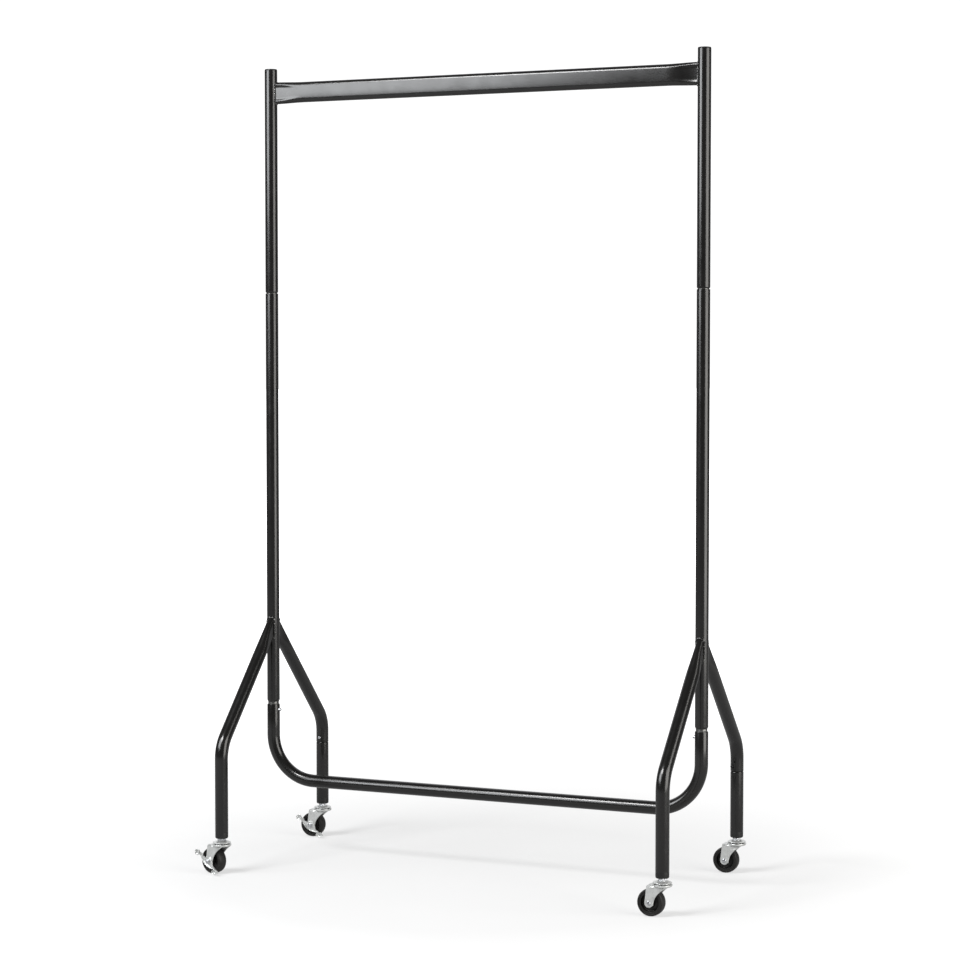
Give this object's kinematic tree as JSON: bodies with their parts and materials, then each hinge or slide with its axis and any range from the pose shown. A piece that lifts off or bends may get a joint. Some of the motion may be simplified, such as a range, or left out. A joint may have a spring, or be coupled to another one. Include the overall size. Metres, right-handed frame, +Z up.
{
  "type": "garment rail",
  "caption": "Straight garment rail: flat-oval hanging bar on two push-fit uprights, upturned base rail, A-shaped legs, swivel castors, braked on one side.",
  "frame": {"origin": "on the floor, at the centre of the footprint with all castors trailing to -X; the middle of the rail is 18.06 mm along X and 5.17 mm along Y from it", "axes": "+X along the hanging bar, away from the braked castors; +Y from front to rear; +Z up"},
  "size_m": [0.9872, 0.4694, 1.5835],
  "materials": {
    "powder_coat": "satin black powder coat over steel tube",
    "black_plastic": "moulded black plastic",
    "tyre": "matt dark rubber",
    "wheel_core": "moulded nylon",
    "zinc_pressing": "bright zinc-plated pressed steel",
    "plated_steel": "bright zinc-plated steel"
  },
  "bodies": {
    "frame": {"left_lower_upright": "powder_coat", "right_lower_upright": "powder_coat", "base_rail": "powder_coat", "front_left_leg": "powder_coat", "rear_left_leg": "powder_coat", "rear_left_foot": "powder_coat", "front_right_leg": "powder_coat", "rear_right_leg": "powder_coat", "rear_right_foot": "powder_coat", "leg_welds": "powder_coat", "castor_sockets": "black_plastic", "castor_stems": "plated_steel", "castor_top_races": "zinc_pressing", "button_springs": "plated_steel"},
    "upper_frame": {"top_bar": "powder_coat", "left_upper_upright": "powder_coat", "right_upper_upright": "powder_coat", "upper_end_caps": "black_plastic", "top_bar_welds": "powder_coat"},
    "front_left_swivel": {"front_left_fork": "zinc_pressing", "front_left_race_balls": "plated_steel", "front_left_axle": "plated_steel", "front_left_axle_nut": "plated_steel", "front_left_bush": "plated_steel"},
    "front_left_roller": {"front_left_wheel": "wheel_core", "front_left_tyre": "tyre"},
    "front_left_brake": {"front_left_brake_lever": "zinc_pressing", "front_left_brake_cam": "zinc_pressing"},
    "front_right_swivel": {"front_right_fork": "zinc_pressing", "front_right_race_balls": "plated_steel", "front_right_axle": "plated_steel", "front_right_axle_nut": "plated_steel", "front_right_bush": "plated_steel"},
    "front_right_roller": {"front_right_wheel": "wheel_core", "front_right_tyre": "tyre"},
    "rear_left_swivel": {"rear_left_fork": "zinc_pressing", "rear_left_race_balls": "plated_steel", "rear_left_axle": "plated_steel", "rear_left_axle_nut": "plated_steel", "rear_left_bush": "plated_steel"},
    "rear_left_roller": {"rear_left_wheel": "wheel_core", "rear_left_tyre": "tyre"},
    "rear_left_brake": {"rear_left_brake_lever": "zinc_pressing", "rear_left_brake_cam": "zinc_pressing"},
    "rear_right_swivel": {"rear_right_fork": "zinc_pressing", "rear_right_race_balls": "plated_steel", "rear_right_axle": "plated_steel", "rear_right_axle_nut": "plated_steel", "rear_right_bush": "plated_steel"},
    "rear_right_roller": {"rear_right_wheel": "wheel_core", "rear_right_tyre": "tyre"},
    "left_base_button": {"left_base_button": "plated_steel"},
    "right_base_button": {"right_base_button": "plated_steel"},
    "left_leg_button": {"left_leg_button": "plated_steel"},
    "right_leg_button": {"right_leg_button": "plated_steel"}
  },
  "joints": [
    {"name": "upper_frame_lift", "type": "slide", "parent": "frame", "child": "upper_frame", "axis": [0, 0, 1], "range_m": [0, 0.07]},
    {"name": "front_left_swivel", "type": "hinge", "parent": "frame", "child": "front_left_swivel", "pos_m": [-0.43894, -0.20583, 0.0612], "axis": [0, 0, 1], "continuous": true},
    {"name": "front_left_roll", "type": "hinge", "parent": "front_left_swivel", "child": "front_left_roller", "pos_m": [-0.45932, -0.20075, 0.0254], "axis": [-0.2419, -0.9703, 0], "continuous": true},
    {"name": "front_left_brake_tilt", "type": "hinge", "parent": "front_left_swivel", "child": "front_left_brake", "pos_m": [-0.45932, -0.20075, 0.0254], "axis": [-0.2419, -0.9703, 0], "range_deg": [0, 30]},
    {"name": "front_right_swivel", "type": "hinge", "parent": "frame", "child": "front_right_swivel", "pos_m": [0.47506, -0.20583, 0.0612], "axis": [0, 0, 1], "continuous": true},
    {"name": "front_right_roll", "type": "hinge", "parent": "front_right_swivel", "child": "front_right_roller", "pos_m": [0.45407, -0.20509, 0.0254], "axis": [-0.0349, -0.9994, 0], "continuous": true},
    {"name": "rear_left_swivel", "type": "hinge", "parent": "frame", "child": "rear_left_swivel", "pos_m": [-0.43894, 0.21617, 0.0612], "axis": [0, 0, 1], "continuous": true},
    {"name": "rear_left_roll", "type": "hinge", "parent": "rear_left_swivel", "child": "rear_left_roller", "pos_m": [-0.45989, 0.21471, 0.0254], "axis": [0.0698, -0.9976, 0], "continuous": true},
    {"name": "rear_left_brake_tilt", "type": "hinge", "parent": "rear_left_swivel", "child": "rear_left_brake", "pos_m": [-0.45989, 0.21471, 0.0254], "axis": [0.0698, -0.9976, 0], "range_deg": [0, 30]},
    {"name": "rear_right_swivel", "type": "hinge", "parent": "frame", "child": "rear_right_swivel", "pos_m": [0.47506, 0.21617, 0.0612], "axis": [0, 0, 1], "continuous": true},
    {"name": "rear_right_roll", "type": "hinge", "parent": "rear_right_swivel", "child": "rear_right_roller", "pos_m": [0.45406, 0.21581, 0.0254], "axis": [0.0175, -0.9998, 0], "continuous": true},
    {"name": "left_base_button_press", "type": "slide", "parent": "frame", "child": "left_base_button", "axis": [-1, 0, 0], "range_m": [0, 0.0046]},
    {"name": "right_base_button_press", "type": "slide", "parent": "frame", "child": "right_base_button", "axis": [1, 0, 0], "range_m": [0, 0.0046]},
    {"name": "left_leg_button_press", "type": "slide", "parent": "frame", "child": "left_leg_button", "axis": [-0.0698, 0.9976, 0], "range_m": [0, 0.0046]},
    {"name": "right_leg_button_press", "type": "slide", "parent": "frame", "child": "right_leg_button", "axis": [0.3907, 0.9205, 0], "range_m": [0, 0.0046]}
  ]
}
